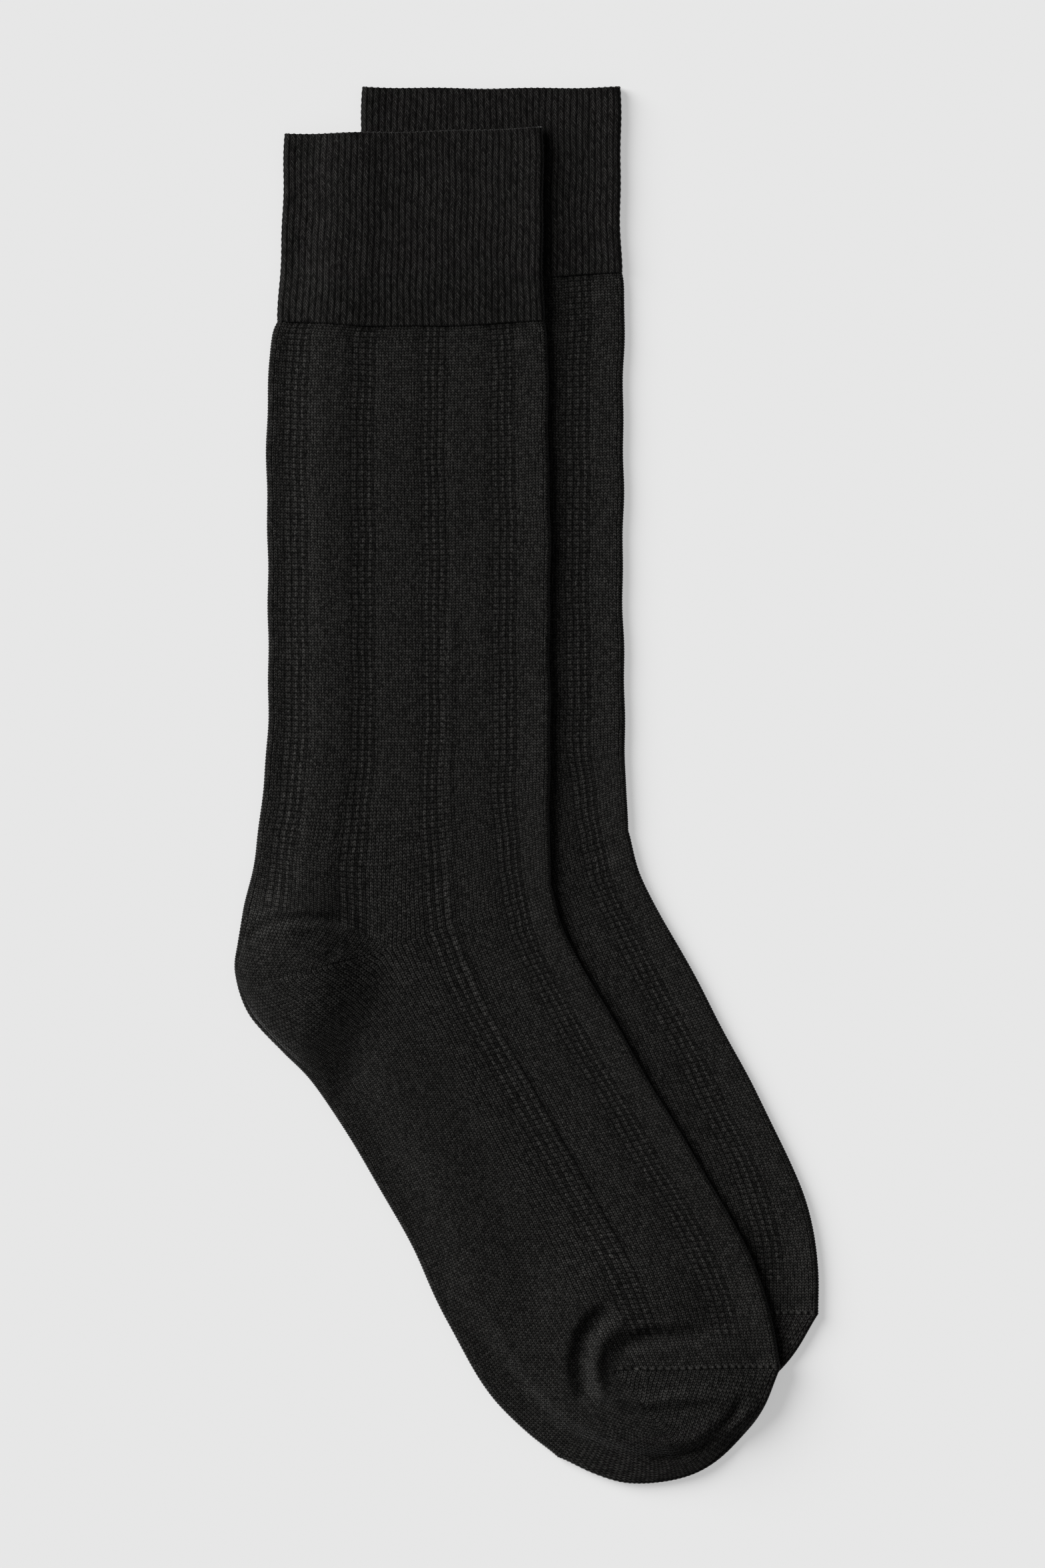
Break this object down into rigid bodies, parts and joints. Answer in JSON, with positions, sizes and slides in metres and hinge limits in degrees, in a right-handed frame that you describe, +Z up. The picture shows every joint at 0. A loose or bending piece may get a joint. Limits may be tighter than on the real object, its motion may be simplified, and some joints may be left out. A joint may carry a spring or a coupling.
{
  "type": "pair of socks",
  "caption": "Pair of fine-knit black dress socks laid flat in profile, one over the other, with ribbed cuffs and textured vertical bands.",
  "frame": {"origin": "on the surface the socks lie on, under the middle of the pair's box", "axes": "+Z up from that surface, +Y up the legs towards the cuffs, +X towards the shins and toes"},
  "size_m": [0.197, 0.471, 0.0081],
  "materials": {
    "rib_knit": "matte black 1x1 rib knit",
    "fine_knit": "matte black fine plain knit with a slight fuzz"
  },
  "bodies": {
    "root": {"upper_cuff": "rib_knit", "upper_leg": "fine_knit", "upper_heel": "fine_knit", "upper_foot": "fine_knit", "upper_toe": "fine_knit", "lower_cuff": "rib_knit", "lower_leg": "fine_knit", "lower_heel": "fine_knit", "lower_foot": "fine_knit", "lower_toe": "fine_knit"}
  },
  "joints": []
}
